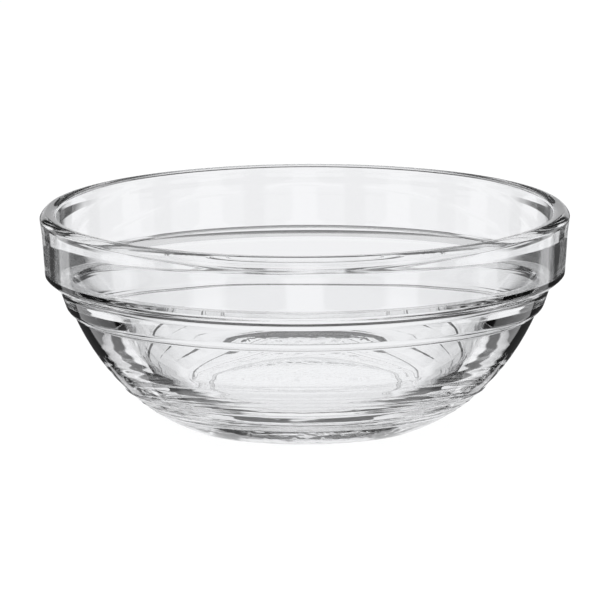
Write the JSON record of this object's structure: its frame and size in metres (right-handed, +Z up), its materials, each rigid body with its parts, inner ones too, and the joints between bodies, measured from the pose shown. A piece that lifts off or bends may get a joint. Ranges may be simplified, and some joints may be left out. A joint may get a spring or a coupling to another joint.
{
  "type": "stackable bowl",
  "caption": "Small round stackable bowl of clear pressed glass, with an upright collar, a shoulder that rests on the rim of the bowl below, a stepped wall and a flat foot.",
  "frame": {"origin": "centre of the foot, on the surface that the bowl stands on", "axes": "+Z up along the bowl's axis, from the foot to the mouth; the bowl is the same all round, so X and Y are free"},
  "size_m": [0.105, 0.105, 0.043],
  "materials": {
    "clear_glass": "clear tempered glass, pressed and fire polished, with a very faint grey-green tint"
  },
  "bodies": {
    "root": {"bowl": "clear_glass"}
  },
  "joints": []
}
